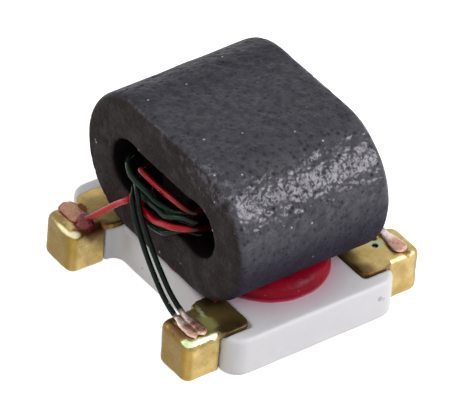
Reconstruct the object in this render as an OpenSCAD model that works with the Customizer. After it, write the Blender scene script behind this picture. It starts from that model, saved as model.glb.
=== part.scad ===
// Surface-mount balun transformer: a two-hole ferrite core with a three-wire
// winding, glued to a moulded base with wrapped metal terminals.
// Millimetres. The origin is at the centre of the footprint on the board plane,
// +Z points up and the two holes of the core run along Y.

/* [Base] */
// Width of the moulded base along X
base_w = 3.86; // [3.6:0.01:4.4]
// Height of the top face of the base above the board
base_top = 0.65; // [0.55:0.01:0.9]
// Gap between the underside of the base and the board
base_standoff = 0.04; // [0.02:0.01:0.1]
// Depth along Y of the base between the terminals
waist_depth = 2.34; // [2.1:0.01:2.5]
// Depth along Y of the base at the terminals
shoulder_depth = 2.74; // [2.6:0.01:3]
// Radius of the four upright corners of the base
base_corner_r = 0.27; // [0.1:0.01:0.4]
// Radius of the inside corners between the waist and the shoulders
waist_fillet_r = 0.15; // [0.05:0.01:0.18]

/* [Terminals] */
// Overall depth along Y across the outer faces of the terminals
terminal_span = 3.86; // [3.6:0.01:4.2]
// Distance between the centres of the two outer terminals of a row
row_width = 2.64; // [2.4:0.01:2.8]
// Width of the wrapped end of a terminal
terminal_w = 0.67; // [0.5:0.01:0.8]
// Height of the top of a terminal above the top face of the base
terminal_rise = 0.04; // [0.02:0.01:0.06]
// Thickness of the terminal metal
metal_t = 0.09; // [0.05:0.01:0.12]
// Radius of the upright outer corners of a terminal
terminal_corner_r = 0.15; // [0.1:0.01:0.25]
// Radius of the bends along the top and bottom of a terminal
terminal_bend_r = 0.07; // [0.03:0.01:0.1]
// Width of the plate that a terminal spreads over the base
plate_w = 0.76; // [0.66:0.01:0.9]
// Distance from the middle of the part to the inner end of a plate
plate_end = 0.93; // [0.85:0.01:1]
// Radius of the corners of a plate
plate_corner_r = 0.12; // [0.02:0.01:0.2]
// Diameter of the dimple in one of the rear terminals
dimple_d = 0.1; // [0.06:0.01:0.2]
// Clearance of a terminal around the plastic that it holds
terminal_fit = 0.01; // [0.005:0.005:0.02]

/* [Core] */
// Width of the ferrite core along X
core_w = 3.54; // [3.3:0.01:3.6]
// Height of the ferrite core
core_h = 2.12; // [2:0.01:2.3]
// Length of the ferrite core along its holes
core_len = 2.47; // [2.3:0.01:2.7]
// Radius of the rounded edges around the two end faces
core_edge_r = 0.12; // [0.05:0.01:0.2]
// Distance between the centres of the two holes
hole_pitch = 1.474; // [1.4:0.01:1.55]
// Diameter of the holes
hole_d = 0.84; // [0.8:0.01:0.9]
// Height of the slot that joins the two holes at each end face
slot_h = 0.76; // [0.7:0.01:0.8]
// Depth of that slot
slot_depth = 0.22; // [0.18:0.01:0.3]

/* [Adhesive] */
// Width along X of the adhesive layer between the base and the core
bond_w = 2.2; // [1.6:0.01:2.4]
// How far the adhesive layer stays back from the edge of the base
bond_inset = 0.03; // [0.02:0.01:0.3]
// Radius of the puddles that stand out on both sides of the core
puddle_r = 0.88; // [0.7:0.01:0.9]
// Height of the puddles before the core presses into them
puddle_h = 0.4; // [0.2:0.01:0.5]
// Distance from the middle of the part to the middle of a puddle
puddle_x = 0.72; // [0.65:0.01:0.8]

/* [Windings] */
// Diameter of the enamelled wires
wire_d = 0.09; // [0.08:0.005:0.12]
// Spacing of neighbouring wires in the holes and across the end faces
wire_pitch = 0.12; // [0.11:0.005:0.125]
// Width of a flattened bare end of a wire
foot_w = 0.12; // [0.12:0.01:0.2]
// Thickness of a flattened bare end of a wire
foot_t = 0.06; // [0.05:0.01:0.08]
// Length of a flattened bare end of a wire
foot_len = 0.42; // [0.3:0.01:0.5]

/* [Hidden] */
$fn = 64;

base_h = base_top - base_standoff;
terminal_h = base_top + terminal_rise;
plate_seat = terminal_h - metal_t;
core_mid_z = terminal_h + core_h / 2; // the core stands on the plates
end_r = core_h / 2;
end_x = core_w / 2 - end_r;
face_y = core_len / 2;
waist_y = waist_depth / 2;
shoulder_y = shoulder_depth / 2;
span_y = terminal_span / 2;
row_x = row_width / 2;
shoulder_in = row_x - terminal_w / 2 - terminal_fit;
wire_r = wire_d / 2;
beyond = 1; // how far a cutting shape runs past what it cuts

// ---- Base ----

module shoulder_2d() {
    wide = base_w / 2 - shoulder_in;
    translate([shoulder_in, 0]) {
        square([wide - base_corner_r, shoulder_y]);
        square([wide, shoulder_y - base_corner_r]);
        translate([wide - base_corner_r, shoulder_y - base_corner_r])
            circle(base_corner_r);
    }
    inside_corner_2d(shoulder_in);
}

// Fillet on the low-X side of a shoulder whose flank stands at x
module inside_corner_2d(x) {
    translate([x - waist_fillet_r, waist_y])
        difference() {
            square(waist_fillet_r);
            translate([0, waist_fillet_r]) circle(waist_fillet_r);
        }
}

module base_2d() {
    square([base_w, waist_depth - 2 * base_corner_r], center = true);
    square([base_w - 2 * base_corner_r, waist_depth], center = true);
    for (sx = [0, 1], sy = [0, 1])
        mirror([sx, 0]) mirror([0, sy]) shoulder_2d();
    middle_w = terminal_w + 2 * terminal_fit;
    translate([-middle_w / 2, 0]) square([middle_w, shoulder_y]);
    for (sx = [0, 1]) mirror([sx, 0]) inside_corner_2d(-middle_w / 2);
}

// Tongue of plastic inside the wrapped end of a terminal, as seen from above
module tongue_2d() {
    out = span_y - metal_t - terminal_fit;
    wide = terminal_w - 2 * metal_t - 2 * terminal_fit;
    r = terminal_corner_r - metal_t;
    translate([-wide / 2, 0]) square([wide, out - r]);
    translate([-wide / 2 + r, 0]) square([wide - 2 * r, out]);
    for (s = [-1, 1]) translate([s * (wide / 2 - r), out - r]) circle(r);
}

module base() {
    color("whitesmoke") difference() {
        union() {
            translate([0, 0, base_standoff]) linear_extrude(base_h) base_2d();
            each_terminal()
                translate([0, 0, metal_t + terminal_fit])
                    linear_extrude(plate_seat - metal_t - 2 * terminal_fit)
                        tongue_2d();
        }
        each_terminal()
            translate([0, 0, plate_seat])
                linear_extrude(beyond) plate_2d(terminal_fit);
    }
}

// ---- Terminals ----
// Drawn on the +Y side at x = 0 and then set in place

module at_terminal(x, side) {
    translate([x, 0, 0]) mirror([0, side < 0 ? 1 : 0, 0]) children();
}

module each_terminal() {
    for (x = [-row_x, row_x], side = [-1, 1]) at_terminal(x, side) children();
    at_terminal(0, 1) children();
}

// Plate from its inner end to the outer face of the shoulder, widened by gap
module plate_2d(gap) {
    wide = plate_w + 2 * gap;
    start = plate_end - gap;
    r = plate_corner_r + gap;
    translate([-wide / 2 + r, start])
        square([wide - 2 * r, shoulder_y + gap - start]);
    translate([-wide / 2, start + r])
        square([wide, shoulder_y + gap - start - r]);
    for (s = [-1, 1]) translate([s * (wide / 2 - r), start + r]) circle(r);
}

// Wrapped end seen from above, with its outer corners rounded
module wrap_2d(out, wide, r) {
    start = shoulder_y + terminal_fit;
    translate([-wide / 2, start]) square([wide, out - r - start]);
    translate([-wide / 2 + r, start]) square([wide - 2 * r, out - start]);
    for (s = [-1, 1]) translate([s * (wide / 2 - r), out - r]) circle(r);
}

// Side view of the wrapped end, Y to the right and Z up
module wrap_side_2d() {
    square([span_y - terminal_bend_r, terminal_h]);
    translate([0, terminal_bend_r])
        square([span_y, terminal_h - 2 * terminal_bend_r]);
    for (z = [terminal_bend_r, terminal_h - terminal_bend_r])
        translate([span_y - terminal_bend_r, z]) circle(terminal_bend_r);
}

module terminal() {
    difference() {
        union() {
            intersection() {
                linear_extrude(terminal_h)
                    wrap_2d(span_y, terminal_w, terminal_corner_r);
                rotate([90, 0, 90])
                    translate([0, 0, -terminal_w])
                        linear_extrude(2 * terminal_w) wrap_side_2d();
            }
            translate([0, 0, plate_seat]) linear_extrude(metal_t) plate_2d(0);
            translate([-terminal_w / 2, shoulder_y - terminal_fit, plate_seat])
                cube([terminal_w, 3 * terminal_fit, metal_t]);
        }
        translate([0, -terminal_fit, metal_t])
            linear_extrude(plate_seat - metal_t)
                wrap_2d(span_y - metal_t + terminal_fit,
                        terminal_w - 2 * metal_t,
                        terminal_corner_r - metal_t);
    }
}

module terminal_front_left() { color("goldenrod") at_terminal(-row_x, -1) terminal(); }
module terminal_front_right() { color("goldenrod") at_terminal(row_x, -1) terminal(); }
module terminal_rear_left() { color("goldenrod") at_terminal(-row_x, 1) terminal(); }
module terminal_rear_middle() { color("goldenrod") at_terminal(0, 1) terminal(); }

module terminal_rear_right() {
    color("goldenrod") difference() {
        at_terminal(row_x, 1) terminal();
        translate([row_x - dimple_d, shoulder_y + dimple_d, terminal_h - metal_t / 2])
            cylinder(h = beyond, d = dimple_d);
    }
}

// ---- Core ----

module rounded_end() {
    rotate([90, 0, 0]) rotate_extrude() {
        translate([0, -face_y]) square([end_r - core_edge_r, core_len]);
        translate([0, -face_y + core_edge_r])
            square([end_r, core_len - 2 * core_edge_r]);
        for (s = [-1, 1])
            translate([end_r - core_edge_r, s * (face_y - core_edge_r)])
                circle(core_edge_r);
    }
}

module core_middle_2d() {
    square([core_len, core_h - 2 * core_edge_r], center = true);
    square([core_len - 2 * core_edge_r, core_h], center = true);
    for (sy = [-1, 1], sz = [-1, 1])
        translate([sy * (face_y - core_edge_r), sz * (end_r - core_edge_r)])
            circle(core_edge_r);
}

module core_body() {
    for (s = [-1, 1]) translate([s * end_x, 0, core_mid_z]) rounded_end();
    translate([-end_x, 0, core_mid_z])
        rotate([90, 0, 90]) linear_extrude(2 * end_x) core_middle_2d();
}

module core() {
    color("dimgray") difference() {
        core_body();
        for (s = [-1, 1])
            translate([s * hole_pitch / 2, 0, core_mid_z])
                rotate([90, 0, 0])
                    cylinder(h = core_len + 2 * beyond, d = hole_d, center = true);
        for (s = [-1, 1])
            translate([0, s * (face_y - slot_depth + beyond / 2), core_mid_z])
                cube([hole_pitch, beyond, slot_h], center = true);
    }
}

// ---- Adhesive ----

// Cap of a sphere that stands puddle_h high over a circle of puddle_r
module puddle() {
    ball_r = (puddle_r * puddle_r + puddle_h * puddle_h) / (2 * puddle_h);
    intersection() {
        translate([0, 0, puddle_h - ball_r]) sphere(ball_r, $fn = 128);
        translate([-beyond, -beyond, 0]) cube(2 * beyond);
    }
}

module adhesive() {
    depth = 2 * (waist_y - bond_inset);
    color("crimson") difference() {
        translate([0, 0, base_top]) {
            translate([-bond_w / 2, -depth / 2, 0]) cube([bond_w, depth, terminal_rise]);
            for (s = [-1, 1]) translate([s * puddle_x, 0, 0]) puddle();
        }
        core_body();
        each_terminal()
            translate([0, 0, plate_seat]) linear_extrude(metal_t) plate_2d(terminal_fit);
    }
}

// ---- Windings ----
// A wire is a list of route points, smoothed and swept as a closed tube that
// nowhere sinks below the top of the terminals.
// Around the web between the holes it follows lanes in the holes, and at the
// end faces it crosses from hole to hole. Offsets are in wire pitches.

sides = 8; // flats around a wire
steps = 3; // rings from one route point to the next

function in_hole(side, lane, y) =
    [side * hole_pitch / 2 + lane[0] * wire_pitch, y, core_mid_z + lane[1] * wire_pitch];

// Point that lies out beyond an end face (front -1, rear 1) and up from mid height
function at_face(end, x, out, up) =
    [x * hole_pitch / 2, end * (face_y + out * wire_pitch), core_mid_z + up * wire_pitch];

function through(side, lane, from) =
    [for (f = [1, 0.5, -0.5, -1]) in_hole(side, lane, from * f * (face_y - 2 * slot_depth))];

function crossing(end, points) = [for (p = points) at_face(end, p[0], p[1], p[2])];

// Bare end of a wire on its terminal, from its tip to where it lifts off.
// at is the terminal's x; off is [x, y] in wire pitches from there and from the
// shoulder, and away is the direction from the tip along X.
function foot(at, side, off, away) =
    let (z = terminal_h + foot_t / 2)
    [for (f = [0, 0.5, 1])
        [at + off[0] * wire_pitch + away * foot_len * (f - 0.5),
         side * (shoulder_y + off[1] * wire_pitch), z]];

// Free stretch from a foot up to the lip of a hole: a cubic that leaves the
// foot along the foot and comes to the lip in a leaning rise. bow is [how far
// it runs on along the foot, how far it leans, how steeply it rises].
function lead(foot_points, lip, bow) =
    let (a = foot_points[2],
         reach = norm(lip - a),
         along = sign(a[0] - foot_points[0][0]),
         out = reach * [along * bow[0], 0, 0],
         in = reach * [along * bow[1], 0, bow[2]])
    [for (t = [0.2, 0.4, 0.6, 0.8]) hermite(a, out, lip, in, t)];

function reversed(p) = [for (i = [len(p) - 1:-1:0]) p[i]];

function hermite(a, ta, b, tb, t) =
    (2 * t * t * t - 3 * t * t + 1) * a + (t * t * t - 2 * t * t + t) * ta
    + (3 * t * t - 2 * t * t * t) * b + (t * t * t - t * t) * tb;

// Smooth curve through the route points
function slope(p, i) =
    i == 0 ? p[1] - p[0] :
    i == len(p) - 1 ? p[i] - p[i - 1] :
    let (a = norm(p[i] - p[i - 1]), b = norm(p[i + 1] - p[i]))
    ((p[i] - p[i - 1]) * b / a + (p[i + 1] - p[i]) * a / b) / (a + b);

function smooth(p) = concat(
    [for (i = [0:len(p) - 2], k = [0:steps - 1])
        let (t = k / steps,
             span = norm(p[i + 1] - p[i]),
             m0 = i == 0 ? slope(p, i) : slope(p, i) * span,
             m1 = i == len(p) - 2 ? slope(p, i + 1) : slope(p, i + 1) * span)
        hermite(p[i], m0, p[i + 1], m1, t)],
    [p[len(p) - 1]]);

function unit(v) = v / norm(v);

function ring_normals(c) =
    let (n = len(c) - 1)
    [for (i = 0, d = unit(c[1] - c[0]), v = unit(cross(d, [0, 1, 0]));
          i <= n;
          i = i + 1,
          d = i > n ? d : unit(c[min(i + 1, n)] - c[i - 1]),
          v = unit(v - (v * d) * d))
        [d, v]];

// How flat the wire is at each ring: 1 on a bare end and 0 along the rest
function flatness(i, n) =
    let (from_tip = min(i, n - i) / steps, bare = 2)
    from_tip <= bare ? 1 : max(0, 1 - (from_tip - bare));

module wire(route) {
    c = smooth(route);
    n = len(c) - 1;
    frames = ring_normals(c);
    points = [for (i = [0:n], k = [0:sides - 1])
        let (v = frames[i][1],
             b = cross(frames[i][0], v),
             a = 360 * (k + 0.5) / sides,
             f = flatness(i, n),
             round = (cos(a) * v + sin(a) * b) * wire_r / cos(180 / sides),
             wide = 1 + f * (foot_w / wire_d - 1),
             tall = 1 + f * (foot_t / wire_d - 1),
             p = c[i] + [round[0], round[1] * wide, round[2] * tall])
        [p[0], p[1], max(p[2], terminal_h)]];
    skin = [for (i = [0:n - 1], k = [0:sides - 1])
        let (m = (k + 1) % sides)
        [i * sides + k, (i + 1) * sides + k, (i + 1) * sides + m, i * sides + m]];
    first = [for (k = [0:sides - 1]) k];
    last = [for (k = [sides - 1:-1:0]) n * sides + k];
    polyhedron(points, concat([first, last], skin), convexity = 10);
}

// Lanes of each wire: left hole on the way in, after the lower and after the
// upper front crossing, then the right hole before each crossing
red_lanes = [[-1.2, -2.6], [2.05, -2.15], [0.3, -0.3], [-0.7, -1.5], [-2.2, 0.85]];
upper_lanes = [[-0.4, -1.65], [2.3, -0.9], [-1.7, 0.2], [-2.1, -1.55], [-2.4, -0.1]];
lower_lanes = [[-0.1, -2.7], [1.1, -2.45], [0.75, -1.45], [-1.4, -2.25], [-1.3, -0.5]];

// Crossings from the right hole to the left at the front, and back at the rear.
// Each point is [x, out, up]; x is in halves of the hole pitch.
red_front_low = [
    [0.76, -0.95, -1.5], [0.66, -0.2, -1.55], [0.45, 0.65, -1.8], [0.23, 0.75, -2.25],
    [-0.03, 0.7, -2.95], [-0.34, 0.6, -3.05], [-0.5, 0.55, -2.85], [-0.55, 0, -2.5],
    [-0.6, -1, -2.2]];
red_front_high = [
    [0.64, -1.4, 0.1], [0.5, -0.95, 0.3], [0.23, -0.7, 0.4], [-0.18, -0.6, 0.3],
    [-0.56, -0.55, 0.35], [-0.8, -0.65, 0.4], [-0.92, -1.3, -0.2]];
upper_front_low = [
    [0.62, -1.75, -1.65], [0.3, -1.1, -2.05], [0, -0.95, -2.4], [-0.3, -1.05, -2.25],
    [-0.55, -1.35, -1.45]];
upper_front_high = [
    [0.59, -1.75, -0.5], [0.47, -1, -0.55], [0.14, -0.5, -1.25], [-0.12, 0.4, -0.6],
    [-0.27, 1.05, 0.4], [-0.42, 1.35, 0.8], [-0.66, 1.35, 1], [-0.89, 0.8, 1.2],
    [-1.15, -0.6, 0.65]];
lower_front_low = [
    [0.78, -2, -2.6], [0.57, -1.1, -2.65], [0.43, 0.15, -2.75], [0.3, 0.7, -3.25],
    [0.08, 0.65, -3.85], [-0.16, 0.65, -4.05], [-0.36, 0.65, -4], [-0.5, 0.65, -3.75],
    [-0.62, 0.6, -3.15], [-0.68, -0.05, -2.6], [-0.73, -1, -2.3]
];
lower_front_high = [
    [0.78, -0.9, -0.35], [0.6, -0.5, -0.5], [0.42, -0.1, -0.9], [0.2, 0.35, -1.5],
    [-0.04, 0.3, -1.6], [-0.36, 0.3, -1.7], [-0.58, 0.1, -1.65], [-0.7, -0.4, -1.5]];

red_rear_low = [
    [-1.02, 0.5, -2.3], [-0.75, 1.3, -2.15], [-0.4, 1.1, -2.25], [0, 0.9, -2.3],
    [0.5, 0.75, -2.05], [0.85, 0, -1.55]];
red_rear_high = [
    [-0.6, -0.5, -1.2], [-0.3, -0.2, -0.7], [0, -0.2, -0.1], [0.35, -0.3, 0.4],
    [0.62, -0.9, 0.7]];
upper_rear_low = [
    [-0.85, 0, -1.4], [-0.45, 0.6, -1.2], [0, 0.65, -1.05], [0.4, 0.5, -1],
    [0.63, -0.3, -1.4]];
upper_rear_high = [
    [-0.62, -1.6, -0.6], [-0.3, -1.2, -0.4], [0, -1.2, -0.35], [0.3, -1.2, -0.25],
    [0.62, -1.6, -0.15]];
lower_rear_low = [
    [-0.8, 0, -2.5], [-0.62, 0.7, -3], [0, 0.75, -3.3], [0.4, 0.7, -3.1],
    [0.58, 0.6, -2.8], [0.72, -0.2, -2.4]];
lower_rear_high = [
    [-0.7, -1.1, -2.4], [-0.35, -0.8, -2], [0, -0.7, -1.6], [0.4, -0.6, -0.95],
    [0.66, -0.8, -0.65], [0.78, -1.2, -0.5]];

function winding(lanes, rear_low, front_low, rear_high, front_high) = concat(
    through(-1, lanes[0], -1), crossing(1, rear_low),
    through(1, lanes[3], 1), crossing(-1, front_low),
    through(-1, lanes[1], -1), crossing(1, rear_high),
    through(1, lanes[4], 1), crossing(-1, front_high),
    through(-1, lanes[2], -1));

// Whole wire from a foot on the front side, over the lips, to a foot on the rear side
function whole_wire(foot_in, bow_in, lip_in, turns, lip_out, bow_out, foot_out) = concat(
    foot_in, lead(foot_in, lip_in[0], bow_in), lip_in,
    turns,
    lip_out, reversed(lead(foot_out, lip_out[len(lip_out) - 1], bow_out)),
    reversed(foot_out));

red_route = whole_wire(
    foot(-row_x, -1, [-0.9, 2.2], 1), [0.2, 0.55, 0.45],
    crossing(-1, [[-0.73, 1.3, -2.7], [-0.82, -0.1, -2.8], [-1, -1, -2.85]]),
    winding(red_lanes, red_rear_low, red_front_low, red_rear_high, red_front_high),
    crossing(1, [[-1, 0.3, 1.3], [-1.3, 1.3, 0.6]]), [0.9, 0, 0.5],
    foot(-row_x, 1, [-0.4, 2.2], 1));

upper_route = whole_wire(
    foot(row_x, -1, [0.4, 2], -1), [0.68, -0.05, 0.5],
    crossing(-1, [[-0.54, 1, -0.5], [-0.7, 0.45, -0.7], [-0.86, -0.3, -1.1]]),
    winding(upper_lanes, upper_rear_low, upper_front_low, upper_rear_high, upper_front_high),
    crossing(1, [[-1.15, 0.5, 0], [-1, 1.8, -1.5]]), [0.9, 0, 0.5],
    foot(0, 1, [1, 2.2], -1));

lower_route = whole_wire(
    foot(row_x, -1, [0.3, 3], -1), [0.62, 0.05, 0.6],
    crossing(-1, [[-0.58, 1.4, -1.7], [-0.69, 0.75, -1.6], [-0.87, -0.1, -1.85]]),
    winding(lower_lanes, lower_rear_low, lower_front_low, lower_rear_high, lower_front_high),
    crossing(1, [[-0.72, 0.9, -0.3], [-0.5, 1.9, -0.9]]), [0.9, 0, 0.5],
    foot(row_x, 1, [0.4, 2.5], -1));

module wire_red() { color("firebrick") wire(red_route); }
module wire_green_upper() { color("darkgreen") wire(upper_route); }
module wire_green_lower() { color("seagreen") wire(lower_route); }

base();
terminal_front_left();
terminal_front_right();
terminal_rear_left();
terminal_rear_middle();
terminal_rear_right();
core();
adhesive();
wire_red();
wire_green_upper();
wire_green_lower();
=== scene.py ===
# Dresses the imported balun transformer: ferrite core, moulded base, five gold-plated
# terminals, three enamelled wires and the red epoxy that holds the core down.
import math

import bmesh
import bpy
from mathutils import Matrix, Vector, noise


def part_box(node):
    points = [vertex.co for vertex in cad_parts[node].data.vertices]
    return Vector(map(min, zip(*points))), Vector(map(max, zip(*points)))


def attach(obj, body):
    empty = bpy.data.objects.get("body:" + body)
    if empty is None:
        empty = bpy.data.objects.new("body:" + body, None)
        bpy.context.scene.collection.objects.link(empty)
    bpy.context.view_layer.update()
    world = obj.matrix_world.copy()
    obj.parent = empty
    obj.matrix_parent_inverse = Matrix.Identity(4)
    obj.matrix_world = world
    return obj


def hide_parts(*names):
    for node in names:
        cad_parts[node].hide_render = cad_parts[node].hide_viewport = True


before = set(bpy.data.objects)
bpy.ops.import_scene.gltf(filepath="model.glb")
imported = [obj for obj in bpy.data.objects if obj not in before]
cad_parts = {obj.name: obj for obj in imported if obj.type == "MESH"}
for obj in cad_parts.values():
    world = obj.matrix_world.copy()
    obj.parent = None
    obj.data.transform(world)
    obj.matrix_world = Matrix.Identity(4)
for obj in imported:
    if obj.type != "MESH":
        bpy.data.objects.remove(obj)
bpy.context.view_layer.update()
mm = 0.001
print("frame loaded")

# Everything below is modelled in millimetres and brought to metres when a piece is finished.
coreLow, coreHigh = [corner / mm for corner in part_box("core")]
baseLow, baseHigh = [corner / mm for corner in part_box("base")]
terminalLow, terminalHigh = [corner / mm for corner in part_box("terminal_front_right")]
spanY = -terminalLow.y
faceY = coreHigh.y
coreMidZ = (coreLow.z + coreHigh.z) / 2
plateTop = terminalHigh.z


def addObject(name, data):
    made = bpy.data.objects.new(name, data)
    bpy.context.scene.collection.objects.link(made)
    return made


def newObject(name, bm):
    mesh = bpy.data.meshes.new(name)
    bm.to_mesh(mesh)
    bm.free()
    return addObject(name, mesh)


def applyModifiers(piece):
    bpy.context.view_layer.update()
    evaluated = piece.evaluated_get(bpy.context.evaluated_depsgraph_get())
    mesh = bpy.data.meshes.new_from_object(evaluated)
    piece.modifiers.clear()
    piece.data = mesh


def combine(piece, other, operation):
    # boolean with another shape, which is used up
    modifier = piece.modifiers.new(operation, "BOOLEAN")
    modifier.operation = operation
    modifier.solver = "EXACT"
    modifier.object = other
    applyModifiers(piece)
    bpy.data.objects.remove(other)


def remesh(piece, voxel, smoothing):
    # even skin of small quads for fine relief
    modifier = piece.modifiers.new("skin", "REMESH")
    modifier.mode = "VOXEL"
    modifier.voxel_size = voxel
    applyModifiers(piece)
    modifier = piece.modifiers.new("ease", "SMOOTH")
    modifier.iterations = smoothing
    applyModifiers(piece)


def mirroredOutline(right, steps=8):
    # closed outline from the corners of its right half, each (x, y, radius)
    corners = right + [(-x, y, radius) for x, y, radius in right[::-1]]
    points = []
    for i, (x, y, radius) in enumerate(corners):
        here = Vector((x, y))
        before = Vector(corners[i - 1][:2]) - here
        after = Vector(corners[(i + 1) % len(corners)][:2]) - here
        if radius == 0:
            points.append(here)
            continue
        before.normalize()
        after.normalize()
        half = before.angle(after) / 2
        reach = radius / math.tan(half)
        centre = here + (before + after).normalized() * radius / math.sin(half)
        start = here + before * reach - centre
        turn = math.copysign(math.pi - 2 * half, -before.cross(after))
        for k in range(steps + 1):
            angle = turn * k / steps
            c, s = math.cos(angle), math.sin(angle)
            points.append(centre + Vector((c * start.x - s * start.y, s * start.x + c * start.y)))
    return points


def vertsOf(geometry):
    return [part for part in geometry if isinstance(part, bmesh.types.BMVert)]


def prism(name, outline, low, high):
    bm = bmesh.new()
    face = bm.faces.new([bm.verts.new((p.x, p.y, low)) for p in outline])
    top = bmesh.ops.extrude_face_region(bm, geom=[face])["geom"]
    bmesh.ops.translate(bm, vec=(0, 0, high - low), verts=vertsOf(top))
    bmesh.ops.recalc_face_normals(bm, faces=bm.faces)
    return newObject(name, bm)


def block(name, low, high):
    bm = bmesh.new()
    size = Vector(high) - Vector(low)
    middle = (Vector(high) + Vector(low)) / 2
    bmesh.ops.create_cube(bm, size=1, matrix=Matrix.LocRotScale(middle, None, size))
    return newObject(name, bm)


def softenEdges(piece, width, segments, sharperThan):
    bm = bmesh.new()
    bm.from_mesh(piece.data)
    bmesh.ops.remove_doubles(bm, verts=bm.verts, dist=0.0005)
    bmesh.ops.dissolve_limit(bm, angle_limit=math.radians(0.5), verts=bm.verts, edges=bm.edges)
    limit = math.radians(sharperThan)
    edges = [e for e in bm.edges if len(e.link_faces) == 2 and e.calc_face_angle() > limit]
    bmesh.ops.bevel(
        bm, geom=edges, offset=width, segments=segments, profile=0.5,
        affect="EDGES", material=-1, clamp_overlap=True)
    bm.to_mesh(piece.data)
    bm.free()


def relief(piece, height):
    # moves each point along its normal by height(point, normal)
    bm = bmesh.new()
    bm.from_mesh(piece.data)
    bm.normal_update()
    moves = [(v, v.normal * height(v.co, v.normal)) for v in bm.verts]
    for v, move in moves:
        v.co += move
    bm.to_mesh(piece.data)
    bm.free()


def wave(point, size, seed=0.0):
    # smooth noise from -1 to 1 with lumps of about that size
    return noise.noise(point / size + Vector((seed, -seed, 2 * seed)))


def storeMasks(piece, masks):
    # one value for each point, read by the piece's material
    for label, values in masks.items():
        piece.data.attributes.new(label, "FLOAT", "POINT").data.foreach_set("value", values)


def waves(point, layers, seed=0):
    # layers are (height, size, seed)
    return sum(height * wave(point, size, seed + own) for height, size, own in layers)


def finish(piece, material, cadNode):
    # from millimetres to metres, with its finish, in place of the plain solid
    piece.data.transform(Matrix.Scale(mm, 4))
    piece.data.materials.clear()
    piece.data.materials.append(material)
    piece.data.shade_smooth()
    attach(piece, "root")
    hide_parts(cadNode)
    print(piece.name, "made,", len(piece.data.polygons), "faces")


def mix(value, low, high):
    return low + (high - low) * value


def ramp(value, low, high):
    # 0 below low, 1 above high and smooth between them
    t = min(1, max(0, (value - low) / (high - low)))
    return t * t * (3 - 2 * t)


def node(tree, kind, inputs=None, **settings):
    made = tree.nodes.new(kind)
    for name, value in settings.items():
        setattr(made, name, value)
    for name, value in (inputs or {}).items():
        if isinstance(value, bpy.types.NodeSocket):
            tree.links.new(value, made.inputs[name])
        elif made.inputs[name].type == "RGBA":
            made.inputs[name].default_value = (*value, 1)
        else:
            made.inputs[name].default_value = value
    return made


def emptyTree(owner):
    owner.use_nodes = True
    owner.node_tree.nodes.clear()
    return owner.node_tree


def newMaterial(name):
    material = bpy.data.materials.new(name)
    tree = emptyTree(material)
    place = node(tree, "ShaderNodeTexCoord").outputs["Object"]
    inMillimetres = node(tree, "ShaderNodeMapping", {"Vector": place, "Scale": (1 / mm,) * 3})
    return material, tree, inMillimetres.outputs["Vector"]


def newGroup(name, takes, gives):
    # takes a vector and the numbers in takes, with their defaults
    group = bpy.data.node_groups.new(name, "ShaderNodeTree")
    group.interface.new_socket("Vector", in_out="INPUT", socket_type="NodeSocketVector")
    for label, default in takes.items():
        socket = group.interface.new_socket(label, in_out="INPUT", socket_type="NodeSocketFloat")
        socket.default_value = default
    for label, kind in gives.items():
        group.interface.new_socket(label, in_out="OUTPUT", socket_type="NodeSocket" + kind)
    return group, node(group, "NodeGroupInput").outputs, node(group, "NodeGroupOutput").inputs


def useGroup(tree, group, vector, **inputs):
    return node(tree, "ShaderNodeGroup", {"Vector": vector, **inputs}, node_tree=group).outputs


def mottleOf(tree, vector, cloud, speckle):
    return useGroup(tree, mottle, vector, CloudScale=cloud, SpeckleScale=speckle)


def pitsOf(tree, vector, scale, share, size):
    return useGroup(tree, pits, vector, Scale=scale, Share=share, Size=size)["Pit"]


def noiseOf(tree, vector, scale, detail=3, rough=0.55):
    return node(tree, "ShaderNodeTexNoise", {
        "Vector": vector, "Scale": scale, "Detail": detail, "Roughness": rough}).outputs["Fac"]


def remap(tree, value, fromLow, fromHigh, toLow=0.0, toHigh=1.0):
    return node(tree, "ShaderNodeMapRange", {
        "Value": value, "From Min": fromLow, "From Max": fromHigh,
        "To Min": toLow, "To Max": toHigh}, interpolation_type="SMOOTHSTEP").outputs["Result"]


def calc(tree, operation, a, b=0):
    return node(tree, "ShaderNodeMath", {0: a, 1: b}, operation=operation).outputs[0]


def times(tree, product, *factors):
    for factor in factors:
        product = calc(tree, "MULTIPLY", product, factor)
    return product


def between(tree, mask, low, high):
    return calc(tree, "ADD", times(tree, mask, high - low), low)


def outside(tree, mask):
    return calc(tree, "SUBTRACT", 1.0, mask)


def vectorCalc(tree, operation, a, b=(0, 0, 0)):
    return node(tree, "ShaderNodeVectorMath", {0: a, 1: b}, operation=operation).outputs


def axesOf(tree, vector):
    return node(tree, "ShaderNodeSeparateXYZ", {"Vector": vector}).outputs


def attributeOf(tree, name):
    return node(tree, "ShaderNodeAttribute", attribute_name=name).outputs["Fac"]


def blend(tree, a, b, *amounts, how="MIX"):
    # colour a with as much of b as the amounts multiplied together
    inputs = {0: times(tree, *amounts), 6: a, 7: b}  # the last of a Mix node's socket pairs
    return node(tree, "ShaderNodeMix", inputs, data_type="RGBA", blend_type=how).outputs[2]


def nearPoint(tree, vector, centre, reach, fade, stretch=(1, 1, 1)):
    # 1 within reach of the point and 0 beyond reach + fade
    shifted = vectorCalc(tree, "SUBTRACT", vector, centre)[0]
    scaled = vectorCalc(tree, "MULTIPLY", shifted, stretch)[0]
    return remap(tree, vectorCalc(tree, "LENGTH", scaled)["Value"], reach, reach + fade, 1.0, 0.0)


def markAt(at, size, fade, colour, strength=1.0, stretch=(1, 1, 1), **more):
    # a spot of colour, full within its size and gone at size + fade
    return {"at": at, "size": size, "fade": fade, "colour": colour, "strength": strength,
            "stretch": stretch, "duller": 0.0, "glaze": 0.0, "depth": 0, "rim": 0, "crisp": False,
            **more}


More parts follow.
